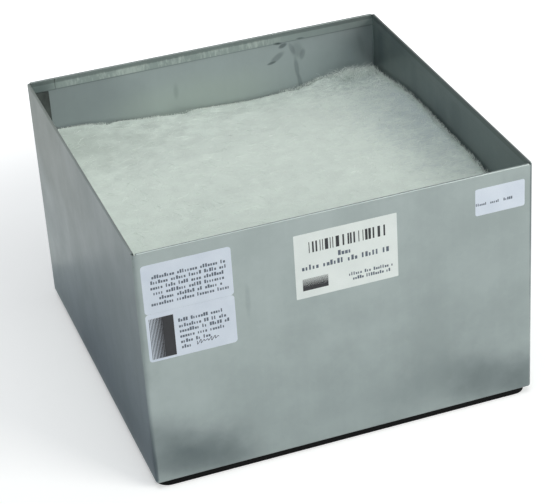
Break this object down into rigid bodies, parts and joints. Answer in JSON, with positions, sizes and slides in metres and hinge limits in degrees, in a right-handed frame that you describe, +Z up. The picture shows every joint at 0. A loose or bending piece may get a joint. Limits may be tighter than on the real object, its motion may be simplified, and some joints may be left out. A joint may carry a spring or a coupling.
{
  "type": "fume extractor filter cartridge",
  "caption": "Square open-topped sheet-metal filter cartridge for solder fume: fibre pad over a pleated particle panel and a carbon bed, with a seal under its base.",
  "frame": {"origin": "centre of the base gasket's underside, on the surface that the cartridge stands on", "axes": "+Z up, along the casing's walls and the way the pad lifts out; the labelled wall faces -Y"},
  "size_m": [0.293, 0.2932, 0.1935],
  "materials": {
    "galvanised_sheet": "satin",
    "mastic": "matte",
    "seal_rubber": "matte",
    "scrim_cloth": "matte",
    "carbon_granules": "matte",
    "potting_resin": "gloss",
    "filter_paper": "matte",
    "hot_melt": "gloss",
    "wadding": "matte",
    "label_paper": "satin"
  },
  "bodies": {
    "cartridge": {"casing_wrap": "galvanised_sheet", "seam_tab": "galvanised_sheet", "seam_sealant": "mastic", "base_gasket": "seal_rubber", "outlet_grille": "galvanised_sheet", "outlet_scrim": "scrim_cloth", "carbon_bed": "carbon_granules", "carbon_cover_scrim": "scrim_cloth", "carbon_cover_grille": "galvanised_sheet", "ledge_front": "galvanised_sheet", "ledge_back": "galvanised_sheet", "ledge_left": "galvanised_sheet", "ledge_right": "galvanised_sheet", "panel_gasket": "seal_rubber", "panel_side_front": "galvanised_sheet", "panel_side_back": "galvanised_sheet", "panel_side_left": "galvanised_sheet", "panel_side_right": "galvanised_sheet", "pack_potting": "potting_resin", "panel_outlet_guard": "galvanised_sheet", "panel_inlet_guard": "galvanised_sheet", "pleated_media": "filter_paper", "pleat_separators": "hot_melt", "main_label": "label_paper", "small_label": "label_paper", "upper_side_label": "label_paper", "lower_side_label": "label_paper"},
    "pad": {"wadding_pad": "wadding"}
  },
  "joints": [
    {"name": "pad_lift", "type": "slide", "parent": "cartridge", "child": "pad", "axis": [0, 0, 1], "range_m": [0, 0.08]}
  ]
}
